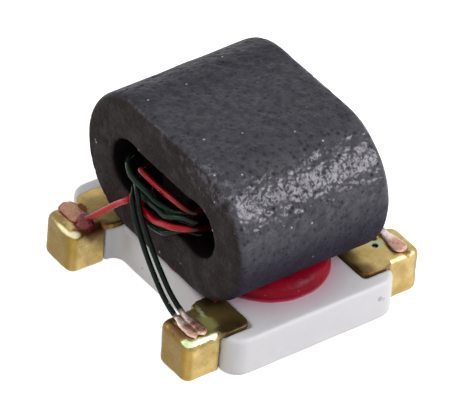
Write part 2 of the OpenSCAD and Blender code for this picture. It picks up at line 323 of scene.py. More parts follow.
def markMask(tree, vector, mark):
    inside = nearPoint(tree, vector, mark["at"], mark["size"], mark["fade"], mark["stretch"])
    return times(tree, inside, mark["strength"])


def bump(tree, height, distance, strength=1.0, normal=None):
    inputs = {"Height": height, "Distance": distance * mm, "Strength": strength}
    if normal is not None:
        inputs["Normal"] = normal
    return node(tree, "ShaderNodeBump", inputs).outputs["Normal"]


def surface(tree, **inputs):
    labelled = {label.replace("_", " "): value for label, value in inputs.items()}
    shader = node(tree, "ShaderNodeBsdfPrincipled", labelled)
    node(tree, "ShaderNodeOutputMaterial", {"Surface": shader.outputs[0]})


def makeMottleGroup():
    # clouds of light and dark and a fine speckle, used on every finish
    group, given, put = newGroup(
        "mottle", {"CloudScale": 3.0, "SpeckleScale": 60.0}, {"Cloud": "Float", "Speckle": "Float"})
    cloud = noiseOf(group, given["Vector"], given["CloudScale"], detail=4, rough=0.6)
    speckle = noiseOf(group, given["Vector"], given["SpeckleScale"], detail=3, rough=0.7)
    group.links.new(remap(group, cloud, 0.3, 0.7), put["Cloud"])
    group.links.new(remap(group, speckle, 0.3, 0.7), put["Speckle"])
    return group


def makePitsGroup():
    # scattered round pits: 1 in the middle of a pit
    group, given, put = newGroup(
        "pits", {"Scale": 12.0, "Share": 0.4, "Size": 0.4}, {"Pit": "Float"})
    cells = node(group, "ShaderNodeTexVoronoi", {
        "Vector": given["Vector"], "Scale": given["Scale"]})
    key = node(group, "ShaderNodeSeparateColor", {"Color": cells.outputs["Color"]}).outputs["Red"]
    chosen = calc(group, "LESS_THAN", key, given["Share"])
    hollow = remap(group, cells.outputs["Distance"], 0.0, given["Size"], 1.0, 0.0)
    group.links.new(times(group, hollow, chosen), put["Pit"])
    return group


mottle = makeMottleGroup()
pits = makePitsGroup()

core = {
    "edgeRadius": 0.12, "holePitch": 1.474, "holeRadius": 0.42,
    "slotHeight": 0.76, "slotDepth": 0.22,
    "shadeUp": (0.5, 0.6), "shadeAcross": (1.2, 1.35),  # where the holes and slots get painted shade
    "skin": 0.025,  # size of the small faces that carry the relief
    "lumps": [(0.006, 0.55, 1.3), (0.003, 0.2, 4.1), (0.001, 0.085, 7.7)], "highest": 0.006,
    "dips": [(0.022, 0.11, 2.9, 0.28), (0.05, 0.19, 5.3, 0.42)],  # depth, size, seed and rarity
    "dark": (0.011, 0.0093, 0.018), "light": (0.0215, 0.0185, 0.0325),
    "pitShade": (0.007, 0.006, 0.007), "glintSpeck": (0.6, 0.6, 0.66),
    "brown": (0.034, 0.0245, 0.0215), "dusty": (0.065, 0.055, 0.056),
    "holeShadeColour": (0.006, 0.0045, 0.004), "chipAndGlint": (0.15, 0.14, 0.17),
    "chipGlintsAt": (0.62, -faceY, coreMidZ + 0.7), "edgeSheenAt": (0.98, -faceY + 0.05, coreMidZ + 0.93),
    # heights above the middle between which the handled shoulder's gloss comes and goes
    "glossIn": (-0.3, 0.6), "glossOut": (0.95, 1.2), "pitsIn": (0.2, 0.5), "pitsOut": (0.95, 1.15),
}


def makeHoleShadeGroup():
    # painted shade: 1 in the holes and slots of the core, fading in below its end faces
    group, given, put = newGroup("core_hole_shade", {"Fade": 0.1}, {"Inside": "Float"})
    axes = axesOf(group, given["Vector"])
    depth, across = calc(group, "ABSOLUTE", axes["Y"]), calc(group, "ABSOLUTE", axes["X"])
    height = calc(group, "ABSOLUTE", calc(group, "SUBTRACT", axes["Z"], coreMidZ))
    start = calc(group, "SUBTRACT", faceY, given["Fade"])
    inside = times(group, remap(group, depth, start, faceY, 1.0, 0.0),
                   remap(group, height, *core["shadeUp"], 1.0, 0.0),
                   remap(group, across, *core["shadeAcross"], 1.0, 0.0))
    group.links.new(inside, put["Inside"])
    return group


holeShade = makeHoleShadeGroup()


def coreBody(name, grow=0.0):
    # two half circles with a flat stretch between them, with rounded ends
    radius = (coreHigh.z - coreLow.z) / 2
    endX = coreHigh.x - radius
    bm = bmesh.new()
    bmesh.ops.create_circle(bm, cap_ends=True, radius=radius + grow, segments=120,
                            matrix=Matrix.Rotation(math.pi / 120, 4, "Z"))
    for v in bm.verts:
        v.co.x += math.copysign(endX, v.co.x)
    bmesh.ops.rotate(bm, matrix=Matrix.Rotation(math.pi / 2, 3, "X"), verts=bm.verts)
    bmesh.ops.translate(bm, vec=(0, faceY + grow, coreMidZ), verts=bm.verts)
    made = bmesh.ops.extrude_face_region(bm, geom=bm.faces[:])["geom"]
    bmesh.ops.translate(bm, vec=(0, -2 * (faceY + grow), 0), verts=vertsOf(made))
    bmesh.ops.recalc_face_normals(bm, faces=bm.faces)
    rims = [e for e in bm.edges if abs(e.verts[0].co.y - e.verts[1].co.y) < 0.01]
    bmesh.ops.bevel(bm, geom=rims, offset=core["edgeRadius"], segments=6, profile=0.5,
                    affect="EDGES", material=-1)
    return newObject(name, bm)


def makeCore():
    piece = coreBody("ferrite_core")
    halfPitch, halfSlot, radius = core["holePitch"] / 2, core["slotHeight"] / 2, core["holeRadius"]
    lying = Matrix.Rotation(math.pi / 2, 4, "X")
    for side in (-1, 1):
        bm = bmesh.new()
        place = Matrix.Translation((side * halfPitch, 0, coreMidZ)) @ lying
        bmesh.ops.create_cone(bm, cap_ends=True, radius1=radius, radius2=radius,
                              depth=4 * faceY, segments=72, matrix=place)
        combine(piece, newObject("bore", bm), "DIFFERENCE")
        inner, outer = side * (faceY - core["slotDepth"]), side * 2 * faceY
        slot = block("slot", (-halfPitch, min(inner, outer), coreMidZ - halfSlot),
                     (halfPitch, max(inner, outer), coreMidZ + halfSlot))
        combine(piece, slot, "DIFFERENCE")
    remesh(piece, core["skin"], 6)

    def height(p, n):
        lift = waves(p, core["lumps"])
        for depth, size, seed, rarity in core["dips"]:
            lift += min(0, wave(p, size, seed) + rarity) * depth
        return min(core["highest"], lift)

    relief(piece, height)
    finish(piece, makeFerrite(), "core")


def makeFerrite():
    material, tree, place = newMaterial("sintered_ferrite")
    tones = mottleOf(tree, place, 2.0, 26.0)
    small = pitsOf(tree, place, 11.5, 0.5, 0.44)
    tiny = pitsOf(tree, place, 29.0, 0.45, 0.5)
    broad = pitsOf(tree, place, 8.5, 0.75, 0.42)
    lighter = calc(tree, "ADD", times(tree, tones["Cloud"], 0.55),
                   times(tree, tones["Speckle"], 0.4))
    colour = blend(tree, core["dark"], core["light"], lighter)
    # painted shade darkens the pits
    colour = blend(tree, colour, core["pitShade"], small, 0.35)
    axes = axesOf(tree, place)
    # the pressed end faces are browner, and dusty in patches
    pressed = remap(tree, calc(tree, "ABSOLUTE", axes["Y"]), faceY - 0.06, faceY - 0.005)
    colour = blend(tree, colour, core["brown"], pressed, 0.8)
    dusting = remap(tree, noiseOf(tree, place, 3.2, detail=5, rough=0.75), 0.42, 0.66)
    colour = blend(tree, colour, core["dusty"], dusting, pressed, 0.75)
    # small chips by the right hole and a worn edge above it, both partly painted highlights
    chipGlints = remap(tree, noiseOf(tree, place, 7.5, detail=3, rough=0.6), 0.62, 0.74, 0.0, 0.7)
    chipGlintPatch = nearPoint(tree, place, core["chipGlintsAt"], 0.3, 0.4, (0.6, 1, 1))
    wearAndSheen = remap(tree, noiseOf(tree, place, 8.0, detail=4, rough=0.7), 0.48, 0.62, 0.0, 0.75)
    edge = nearPoint(tree, place, core["edgeSheenAt"], 0.08, 0.14, (0.25, 1, 0.45))
    colour = blend(tree, colour, core["chipAndGlint"], chipGlints, chipGlintPatch)
    colour = blend(tree, colour, core["chipAndGlint"], wearAndSheen, edge)
    # painted shade: the holes and slots are darkened nearly to black
    holeShadeMask = useGroup(tree, holeShade, place, Fade=0.07)["Inside"]
    colour = blend(tree, colour, core["holeShadeColour"], holeShadeMask)
    # painted glints: tiny pale specks where crystals catch the light
    paintedGlints = pitsOf(tree, place, 6.5, 0.25, 0.15)
    colour = blend(tree, colour, core["glintSpeck"], paintedGlints)

    def above(span, low, high):
        return remap(tree, axes["Z"], coreMidZ + span[0], coreMidZ + span[1], low, high)

    # the shoulders are handled most and shine, but for their pits
    hollows = times(tree, calc(tree, "MAXIMUM", small, tiny), 0.6)
    band = times(tree, above(core["pitsIn"], 0.0, 1.0), above(core["pitsOut"], 1.0, 0.1))
    hollows = calc(tree, "MAXIMUM", hollows, times(tree, broad, band))
    polish = remap(tree, noiseOf(tree, place, 7.5, detail=2, rough=0.5), 0.36, 0.6, 0.62, 0.88)
    polish = times(tree, polish, above(core["glossIn"], 0.05, 1.0),
                   above(core["glossOut"], 1.0, 0.12),
                   remap(tree, axes["X"], -1.4, -0.2, 0.25, 1.0),
                   outside(tree, pressed), outside(tree, holeShadeMask), outside(tree, hollows))
    rough = remap(tree, tones["Speckle"], 0.1, 0.9, 0.75, 0.6)
    normal = bump(tree, noiseOf(tree, place, 30.0, detail=2, rough=0.5), 0.0012, 0.9)
    normal = bump(tree, tiny, -0.003, 1.0, normal)
    normal = bump(tree, small, -0.012, 1.0, normal)
    # the polished skin has its own relief, which breaks its shine into glints
    skin = bump(tree, noiseOf(tree, place, 10.5, detail=1, rough=0.5), 0.023, 1.0)
    skin = bump(tree, noiseOf(tree, place, 3.5, detail=2, rough=0.5), 0.05, 0.5, skin)
    surface(tree, Base_Color=colour, Roughness=rough, Normal=normal, Specular_IOR_Level=0.05,
            Coat_Weight=polish, Coat_Roughness=0.3, Coat_IOR=1.75, Coat_Normal=skin)
    return material


base = {
    "cornerRadius": 0.27, "filletRadius": 0.15, "waistY": 1.17, "edge": 0.085,
    "skin": 0.027, "lumps": [(0.005, 0.5, 3.3), (0.002, 0.16, 8.1)],
    "white": (0.76, 0.755, 0.76), "shade": (0.7, 0.692, 0.7),
    "blush": (0.7, 0.5, 0.57), "blushReach": 0.8, "blushFade": 0.45,
    "spots": [
        # the first two paint the shade of a small dimple in the side
        markAt((1.93, 1.037, 0.41), 0.025, 0.025, (0.3, 0.3, 0.32), 0.6),
        markAt((1.93, 1.1, 0.38), 0.01, 0.025, (0.4, 0.4, 0.42), 0.5),
        markAt((1.155, -0.931, 0.6), 0.015, 0.025, (0.4, 0.14, 0.13), 0.6),
        markAt((-0.405, -1.17, 0.25), 0.008, 0.025, (0.35, 0.34, 0.34), 0.5),
    ],
}


def makeBase():
    t = terminals
    shoulderX = t["rowX"] - t["width"] / 2 - t["fit"]
    middleX = t["width"] / 2 + t["fit"]
    shoulder, waist = t["shoulderY"], base["waistY"]
    corner, fillet = base["cornerRadius"], base["filletRadius"]
    side = baseHigh.x
    outline = mirroredOutline([
        (shoulderX, -waist, fillet), (shoulderX, -shoulder, 0), (side, -shoulder, corner),
        (side, shoulder, corner), (shoulderX, shoulder, 0), (shoulderX, waist, fillet),
        (middleX, waist, fillet), (middleX, shoulder, 0)])
    piece = prism("moulded_base", outline, baseLow.z, baseHigh.z)
    softenEdges(piece, base["edge"], 3, 50)
    seat = plateTop - t["metal"]
    wide = t["width"] / 2 - t["metal"] - t["fit"]
    half = t["plateWidth"] / 2 + t["fit"]
    for x, y in terminalPlaces:  # a tongue inside each terminal and a seat under its plate
        out = y * (spanY - t["metal"] - t["fit"])
        tongue = block("tongue", (x - wide, min(out, 0), t["metal"] + t["fit"]),
                       (x + wide, max(out, 0), seat - t["fit"]))
        combine(piece, tongue, "UNION")
        inner, outer = y * (t["plateEnd"] - t["fit"]), y * 2 * spanY
        pocket = block("pocket", (x - half, min(inner, outer), seat - 0.004),
                       (x + half, max(inner, outer), 2 * plateTop))
        combine(piece, pocket, "DIFFERENCE")
    remesh(piece, base["skin"], 4)
    relief(piece, lambda p, n: waves(p, base["lumps"]))
    finish(piece, makePlastic(), "base")


def makePlastic():
    material, tree, place = newMaterial("white_moulding")
    tones = mottleOf(tree, place, 1.6, 40.0)
    colour = blend(tree, base["white"], base["shade"], tones["Cloud"], 0.5)
    for side in (-1, 1):  # the plastic is pinker round each puddle of red adhesive
        puddle = (side * adhesive["puddleX"], 0, baseHigh.z)
        glow = nearPoint(tree, place, puddle, base["blushReach"], base["blushFade"])
        colour = blend(tree, colour, base["blush"], glow, 0.85)
    for spot in base["spots"]:
        colour = blend(tree, colour, spot["colour"], markMask(tree, place, spot))
    normal = bump(tree, noiseOf(tree, place, 9.0, detail=3), 0.01, 0.5)
    surface(tree, Base_Color=colour, Roughness=0.42, Normal=normal,
            Subsurface_Weight=0.3, Subsurface_Radius=(1.0, 0.9, 0.85), Subsurface_Scale=0.2 * mm)
    return material


terminals = {
    "width": 0.67, "metal": 0.09, "cornerRadius": 0.15, "bendRadius": 0.11,
    "plateWidth": 0.76, "plateEnd": 0.93, "plateCorner": 0.12,
    "neckRadius": 0.08, "neckEnd": 0.03, "neckFillet": 0.02,  # where the plate narrows
    "shoulderY": 1.37, "rowX": 1.32, "fit": 0.01,
    "skin": 0.0135, "highest": 0.004,
    "dents": [(0.008, 0.3, 0), (0.004, 0.13, 3), (0.0015, 0.05, 5)],
    "dish": 0.008, "dishZ": 0.35, "dishReach": 0.3,  # the upright faces are drawn in a little
    "dentEnd": (0.6, 1.1), "rimAt": 1.35, "rimWidth": 0.3,  # in sizes of the mark
    # how far a face leans where it counts as a bend, a rim or a sheared edge
    "bendLean": (0.1, 0.5), "rimLean": (0.35, 0.65), "cutLean": (0.2, 0.6),
    "plateFade": (1.35, 1.43),  # Y where the plate gives way to the wrapped end
    "wander": 0.16,  # how far the marks' outlines stray
    "pale": (0.64, 0.49, 0.21), "gold": (0.5, 0.36, 0.12), "deep": (0.3, 0.2, 0.065),
    "olive": (0.16, 0.14, 0.04), "brown": (0.07, 0.032, 0.014),
    "endFaceShade": (0.2, 0.127, 0.028), "cornerShade": (0.27, 0.165, 0.022),
    "edge": (0.13, 0.07, 0.02), "rimHighlight": (0.8, 0.72, 0.4),
}

rowX = terminals["rowX"]
terminalPlaces = [(-rowX, -1), (-rowX, 1), (rowX, -1), (rowX, 1), (0, 1)]

# Tarnish, burnt enamel, painted highlights and painted shade on the plating. A mark with a depth is
# also a dent, or a raised pool where the depth is negative, and a glaze hides the metal.
marks = {
    "frontLeft": [
        # painted shade of the core on the plate
        markAt((-1.15, -1.28, plateTop), 0.32, 0.2, (0.2, 0.135, 0.05), 0.75),
        # painted shade along the front top edge
        markAt((-1.42, -1.92, 0.66), 0.12, 0.06, (0.25, 0.18, 0.07), 0.9, stretch=(0.5, 1, 1.5)),
        markAt((-1.42, -1.45, plateTop), 0.045, 0.03, (0.14, 0.05, 0.018), stretch=(0.5, 1.5, 1),
               duller=0.15),
        markAt((-1.0, -1.55, plateTop), 0.12, 0.16, (0.11, 0.04, 0.016), 0.9),
        markAt((-1.03, -1.78, plateTop), 0.05, 0.05, (0.16, 0.06, 0.02), 0.85, stretch=(0.6, 1, 1)),
        markAt((-1.17, -1.6, plateTop), 0.12, 0.03, (0.2, 0.011, 0.017), stretch=(0.85, 1, 0.6),
               duller=-0.1, glaze=1.0, depth=-0.11),
        # painted highlight: a pale crescent on the front top edge, brightest at its right end
        markAt((-1.15, -1.93, 0.665), 0.042, 0.03, (0.85, 0.76, 0.46), 0.8, stretch=(0.22, 1, 1.4),
               crisp=True),
        markAt((-1.01, -1.87, 0.665), 0.04, 0.03, (0.9, 0.84, 0.55), 0.85,
               stretch=(0.55, 0.55, 1.3), crisp=True),
    ],
    "frontRight": [
        # the next three paint the core's shade on the plate and beside it
        markAt((1.3, -1.1, plateTop), 0.3, 0.25, (0.12, 0.08, 0.022), 0.85, glaze=0.45),
        markAt((1.0, -1.1, plateTop), 0.08, 0.2, (0.035, 0.022, 0.008), 0.8),
        markAt((1.6, -1.2, plateTop), 0.06, 0.16, (0.05, 0.03, 0.01), 0.8, stretch=(1, 0.6, 1)),
        markAt((1.4, -1.42, plateTop), 0.07, 0.08, (0.3, 0.32, 0.1), 0.7, stretch=(0.7, 1, 1),
               glaze=0.6),
        markAt((1.16, -1.38, plateTop), 0.03, 0.03, (0.4, 0.46, 0.26), 0.8, stretch=(0.35, 1, 1),
               glaze=0.6),
        # painted shade along the front top edge
        markAt((1.2, -1.92, 0.665), 0.1, 0.05, (0.2, 0.12, 0.035), 0.8, stretch=(0.45, 1, 1.5)),
        markAt((1.06, -1.8, plateTop), 0.06, 0.06, (0.12, 0.05, 0.02), 0.75),
        markAt((1.33, -1.84, plateTop), 0.06, 0.05, (0.15, 0.07, 0.03), 0.8, stretch=(0.5, 1, 1)),
        markAt((1.66, -1.7, 0.6), 0.06, 0.04, (0.16, 0.14, 0.05), 0.5, stretch=(1, 0.3, 2.5)),
        # painted highlight along the top bend and round the near corner
        markAt((1.645, -1.7, 0.66), 0.075, 0.025, (0.74, 0.9, 0.55), 0.9, stretch=(1, 0.3, 1.9)),
        markAt((1.58, -1.9, 0.65), 0.045, 0.03, (0.74, 0.9, 0.55), 0.85, stretch=(0.6, 0.6, 1.6)),
    ],
    "rearRight": [
        markAt((1.22, 1.46, plateTop), 0.09, 0.05, (0.4, 0.46, 0.29), 0.8),
        markAt((1.13, 1.5, plateTop), 0.035, 0.03, (0.03, 0.02, 0.012), crisp=True),
        # painted shade: the dent is darkened nearly to black
        markAt((1.267, 1.423, plateTop), 0.035, 0.02, (0.015, 0.008, 0.004), duller=0.3,
               depth=0.05, rim=0.006, crisp=True),
        markAt((1.59, 1.72, plateTop), 0.04, 0.05, (0.12, 0.05, 0.02), 0.85),
        # painted shade of the core at the plate's inner end
        markAt((1.6, 0.98, plateTop), 0.08, 0.16, (0.14, 0.07, 0.025), 0.8),
    ],
}


def terminalShell(name, x, y):
    # drawn on the +Y side at x = 0, then set in place
    t = terminals
    half, corner = t["width"] / 2, t["cornerRadius"]
    start = t["shoulderY"] + t["fit"]
    piece = prism(name, mirroredOutline([(half, start, 0), (half, spanY, corner)]), 0, plateTop)
    bm = bmesh.new()
    bm.from_mesh(piece.data)
    rims = [e for e in bm.edges if abs(e.verts[0].co.z - e.verts[1].co.z) < 1e-5
            and max(v.co.y for v in e.verts) > start + 1e-4]
    bmesh.ops.bevel(bm, geom=rims, offset=t["bendRadius"], segments=5, profile=0.5,
                    affect="EDGES", material=-1)
    bm.to_mesh(piece.data)
    bm.free()
    seat, inner = plateTop - t["metal"], half - t["metal"]
    cavity = prism("cavity", mirroredOutline([
        (inner, 0, 0), (inner, spanY - t["metal"], corner - t["metal"])]), t["metal"], seat)
    combine(piece, cavity, "DIFFERENCE")
    wide, tip = t["plateWidth"] / 2, t["plateCorner"]
    neck, fillet = t["neckRadius"], t["neckFillet"]
    narrowing, narrowed = t["shoulderY"] - neck, t["shoulderY"] + t["neckEnd"]
    plate = prism("plate", mirroredOutline([
        (wide, t["plateEnd"], tip), (wide, narrowing, neck), (half, narrowed, fillet)]),
        seat, plateTop)
    combine(piece, plate, "UNION")
    piece.data.transform(Matrix.Translation((x, 0, 0)) @ Matrix.Scale(y, 4, (0, 1, 0)))
    if y < 0:
        piece.data.flip_normals()
    remesh(piece, t["skin"], 5)
    return piece


def makeTerminal(name, x, y, cadNode, seed, rimHighlightStrength, ownMarks=()):
    t = terminals
    piece = terminalShell(name, x, y)

    def height(p, n):
        lift = waves(p, t["dents"], seed)
        if n.z < 0.5 and p.z < plateTop - 0.1:
            across, up = (p.x - x) / (t["width"] / 2), (p.z - t["dishZ"]) / t["dishReach"]
            lift -= t["dish"] * max(0, 1 - across ** 2) * max(0, 1 - up ** 2)
        lift = min(t["highest"], lift)
        for mark in ownMarks:
            away = (p - Vector(mark["at"])).length / mark["size"]
            lift -= mark["depth"] * (1 - ramp(away, *t["dentEnd"]))
            lift += mark["rim"] * math.exp(-((away - t["rimAt"]) / t["rimWidth"]) ** 2)
        return lift

    masks = {"cornerShade": [], "rim": [], "cut": []}
    for v in piece.data.vertices:
        less, more = sorted((abs(v.normal.x), abs(v.normal.y)))
        off = ramp(abs(v.co.y), *t["plateFade"])
        masks["cornerShade"].append(ramp(less, *t["bendLean"]) * off)
        masks["rim"].append(ramp(min(more, v.normal.z), *t["rimLean"]) * off)
        masks["cut"].append(ramp(more, *t["cutLean"]) * (1 - off))
    storeMasks(piece, masks)
    relief(piece, height)
    finish(piece, makeGold(name + "_plating", ownMarks, seed, rimHighlightStrength), cadNode)


def makeTarnishGroup():
    # dull gold with clouds of tarnish, drawing lines and handling scratches
    group, given, put = newGroup(
        "tarnish", {"Worn": 0.5}, {"Colour": "Color", "Rough": "Float", "Height": "Float"})
    t = terminals
    tones = mottleOf(group, given["Vector"], 3.6, 38.0)
    broad = remap(group, noiseOf(group, given["Vector"], 2.1, detail=2), 0.35, 0.65)
    colour = blend(group, t["gold"], t["pale"], broad)
    colour = blend(group, colour, t["deep"], tones["Cloud"], 0.55)
    patch = remap(group, noiseOf(group, given["Vector"], 5.5, detail=4, rough=0.7), 0.55, 0.72)
    colour = blend(group, colour, t["olive"], patch, given["Worn"])
    flecks = remap(group, noiseOf(group, given["Vector"], 30.0, detail=2, rough=0.6), 0.62, 0.72)
    colour = blend(group, colour, t["brown"], flecks, 0.15)
    drawn = node(group, "ShaderNodeMapping", {
        "Vector": given["Vector"], "Scale": (5, 5, 70), "Rotation": (0.5, 0.3, 0.2)})
    lines = noiseOf(group, drawn.outputs["Vector"], 1.0, detail=2, rough=0.5)
    scratch = remap(group, lines, 0.55, 0.75)
    rough = calc(group, "ADD", remap(group, tones["Speckle"], 0.0, 1.0, 0.26, 0.46),
                 times(group, tones["Cloud"], 0.1))
    height = calc(group, "ADD", times(group, tones["Speckle"], 0.4), times(group, scratch, -0.35))
    height = calc(group, "ADD", height, times(group, tones["Cloud"], 0.6))
    group.links.new(colour, put["Colour"])
    group.links.new(rough, put["Rough"])
    group.links.new(height, put["Height"])
    return group


tarnish = makeTarnishGroup()


def makeGold(name, ownMarks, seed, rimHighlightStrength):
    material, tree, place = newMaterial(name)
    shifted = vectorCalc(tree, "ADD", place, (seed, 2 * seed, -seed))[0]
    plated = useGroup(tree, tarnish, shifted, Worn=0.35)
    colour, rough = plated["Colour"], plated["Rough"]
    t = terminals
    depth = calc(tree, "ABSOLUTE", axesOf(tree, place)["Y"])
    outer = remap(tree, depth, spanY - 0.05, spanY - 0.01, 0.0, 0.9)  # painted shade: the end faces are darker
    colour = blend(tree, colour, t["endFaceShade"], outer)
    # painted shade on the rounded upright corners
    colour = blend(tree, colour, t["cornerShade"], attributeOf(tree, "cornerShade"), 0.65)
    # painted highlight along the top bends, set for each terminal
    rimHighlight = remap(tree, noiseOf(tree, shifted, 6.0), 0.4, 0.6, 0.1 * rimHighlightStrength, 0.8 * rimHighlightStrength)
    colour = blend(tree, colour, t["rimHighlight"], attributeOf(tree, "rim"), rimHighlight)
    # painted shade on the plate's side edges
    colour = blend(tree, colour, t["edge"], attributeOf(tree, "cut"), 0.8)
    # marks have wandering outlines unless they are crisp
    ragged = node(tree, "ShaderNodeTexNoise", {"Vector": place, "Scale": 9.0, "Detail": 3.0})
    pull = vectorCalc(tree, "SUBTRACT", ragged.outputs["Color"], (0.5, 0.5, 0.5))[0]
    pull = vectorCalc(tree, "MULTIPLY", pull, (t["wander"],) * 3)[0]
    wandering = vectorCalc(tree, "ADD", place, pull)[0]
    metallic = 1.0
    for mark in ownMarks:
        amount = markMask(tree, place if mark["crisp"] else wandering, mark)
        colour = blend(tree, colour, mark["colour"], amount)
        rough = calc(tree, "ADD", rough, times(tree, amount, mark["duller"]))
        if mark["glaze"]:
            metallic = calc(tree, "SUBTRACT", metallic, times(tree, amount, mark["glaze"]))
    normal = bump(tree, plated["Height"], 0.003, 0.7)
    surface(tree, Base_Color=colour, Roughness=rough, Metallic=metallic, Normal=normal)
    return material


adhesive = {
    "bondWidth": 2.2, "bondDepth": 2.2,
    "puddleRadius": 0.88, "puddleHeight": 0.3, "puddleX": 0.7, "puddleY": 0.03, "fullness": 0.62,
    "sink": 0.02,  # how far its skin runs on into the base and the core
    "skin": 0.02, "lumps": [(0.012, 0.5, 6.2), (0.006, 0.2, 9.4)],
    "red": (0.33, 0.0035, 0.02), "deep": (0.09, 0.001, 0.006),
    "rimGlint": (0.6, 0.36, 0.36), "lip": (0.7, 0.12, 0.2),
    # two beads pressed out under the front of the core
    "beads": [{"x": -0.45, "spread": 0.12}, {"x": 0.2, "spread": 0.22}],
    "beadHeight": 0.04, "beadsWithin": 0.7,
}


def makeAdhesive():
    a = adhesive
    low = baseHigh.z - a["sink"]
    piece = block("epoxy", (-a["bondWidth"] / 2, -a["bondDepth"] / 2, low),
                  (a["bondWidth"] / 2, a["bondDepth"] / 2, plateTop + a["sink"]))
    for side in (-1, 1):
        bm = bmesh.new()
        bmesh.ops.create_uvsphere(bm, u_segments=96, v_segments=64, radius=1)
        for v in bm.verts:  # flat on top and steep at the rim
            out = math.hypot(v.co.x, v.co.y)
            spread = out ** (a["fullness"] - 1) * a["puddleRadius"] if out > 1e-6 else 0
            up = math.copysign(abs(v.co.z) ** a["fullness"], v.co.z) * a["puddleHeight"]
            v.co = Vector((side * a["puddleX"] + v.co.x * spread, a["puddleY"] + v.co.y * spread,
                           baseHigh.z + up))
        cut = bmesh.ops.bisect_plane(bm, geom=bm.verts[:] + bm.edges[:] + bm.faces[:],
                                     plane_co=(0, 0, low), plane_no=(0, 0, -1), clear_outer=True)
        rim = [e for e in cut["geom_cut"] if isinstance(e, bmesh.types.BMEdge)]
        bmesh.ops.holes_fill(bm, edges=rim, sides=0)
        combine(piece, newObject("puddle", bm), "UNION")
    combine(piece, coreBody("pressed_core", -a["sink"]), "DIFFERENCE")
    remesh(piece, a["skin"], 4)

    def height(p, n):
        lift = waves(p, a["lumps"])
        if n.y < -0.3 and abs(p.x) < a["beadsWithin"]:
            lift += sum(a["beadHeight"] * math.exp(-((p.x - bead["x"]) / bead["spread"]) ** 2)
                        for bead in a["beads"])
        return lift

    relief(piece, height)
    finish(piece, makeEpoxy(), "adhesive")


def makeEpoxy():
    material, tree, place = newMaterial("red_epoxy")
    tones = mottleOf(tree, place, 2.2, 34.0)
    colour = blend(tree, adhesive["red"], adhesive["deep"], tones["Cloud"], 0.6)
    specks = remap(tree, noiseOf(tree, place, 22.0, detail=2), 0.62, 0.7)
    rough = calc(tree, "ADD", 0.3, times(tree, specks, 0.25))
    above = axesOf(tree, place)["Z"]
    # painted glints: pale specks, most of them low down by the rim
    rimGlint = pitsOf(tree, place, 16.0, 0.3, 0.16)
    towardsRim = remap(tree, above, baseHigh.z + 0.05, baseHigh.z + 0.25, 1.0, 0.15)
    colour = blend(tree, colour, adhesive["rimGlint"], rimGlint, towardsRim)
    # painted highlight along the bottom of the rim
    lip = remap(tree, above, baseHigh.z + 0.015, baseHigh.z + 0.05, 0.45, 0.0)
    colour = blend(tree, colour, adhesive["lip"], lip)
    normal = bump(tree, noiseOf(tree, place, 9.0, detail=4, rough=0.6), 0.02, 0.5)
    surface(tree, Base_Color=colour, Roughness=rough, Normal=normal, Specular_IOR_Level=0.1,
            Subsurface_Weight=0.12, Subsurface_Radius=(1.0, 0.12, 0.12), Subsurface_Scale=0.12 * mm)
    return material


winding = {
    "pitch": 0.12, "footLength": 0.42, "bowOut": (0.9, 0, 0.5),
    "sides": 14, "steps": 7,
    # route points from the tip, between which the flattened end, its lobe, the bare copper,
    # the bright start of the enamel (burnt on the red wire, a painted highlight on the green ones)
    # and the darker lead give way
    "flatEnd": (1.9, 3.0), "lobeEnd": (0.9, 2.1), "bareEnd": (2.0, 2.35),
    "brightIn": 0.4, "brightEnd": (3.2, 4.4), "leadEnd": (7.5, 9.0),
    "tipLength": 0.5, "tipWidth": 0.2,
    # a pressed end is creased, sinks into the plate a little and is worn along its edges
    "creasesUp": [(0.012, 0.07, 3.1), (0.007, 0.035, 1.7)], "creasesAside": [(0.014, 0.11, 5.9)],
    "sunk": 0.004, "edgeWear": 0.7, "edgeFrom": (0.8, 0.97), "bareWobble": [(0.25, 0.05, 2.2)],
}

# A foot is [X of its terminal, side, offset in pitches from there, direction along X, width,
# thickness, share of the width at its start]. Lips and crossings are points
# [across in half hole pitches, out, up], and lanes [across, up], in pitches.
redWire = {
    "radius": 0.044, "brightFrom": 1.75,
    "footIn": [-1.32, -1, (-0.85, 2.15), 1, 0.27, 0.05, 0.8], "bowIn": (0.2, 0.55, 0.45),
    "lipIn": [(-0.73, 1.3, -2.7), (-0.82, -0.1, -2.8), (-1, -1, -2.85)],
    "lanes": [(-1.2, -2.6), (-0.7, -1.5), (2.05, -2.15), (-2.2, 0.85), (0.3, -0.3)],
    "rearLow": [(-1.02, 0.5, -2.3), (-0.75, 1.3, -2.15), (-0.4, 1.1, -2.25), (0, 0.9, -2.3),
                (0.5, 0.75, -2.05), (0.85, 0, -1.55)],
    "frontLow": [(0.76, -0.95, -1.5), (0.66, -0.2, -1.55), (0.45, 0.65, -1.8), (0.23, 0.75, -2.25),
                 (-0.03, 0.7, -2.95), (-0.34, 0.6, -3.05), (-0.5, 0.55, -2.85), (-0.55, 0, -2.5),
                 (-0.6, -1, -2.2)],
    "rearHigh": [(-0.6, -0.5, -1.2), (-0.3, -0.2, -0.7), (0, -0.2, -0.1), (0.35, -0.3, 0.4),
                 (0.62, -0.9, 0.7)],
    "frontHigh": [(0.64, -1.4, 0.1), (0.5, -0.95, 0.3), (0.23, -0.7, 0.4), (-0.18, -0.6, 0.3),
                  (-0.56, -0.55, 0.35), (-0.8, -0.65, 0.4), (-0.92, -1.3, -0.2)],
    "lipOut": [(-1, 0.3, 1.3), (-1.3, 1.3, 0.6)],
    "footOut": [-1.32, 1, (-0.4, 2.2), 1, 0.18, 0.06, 0.7],
}

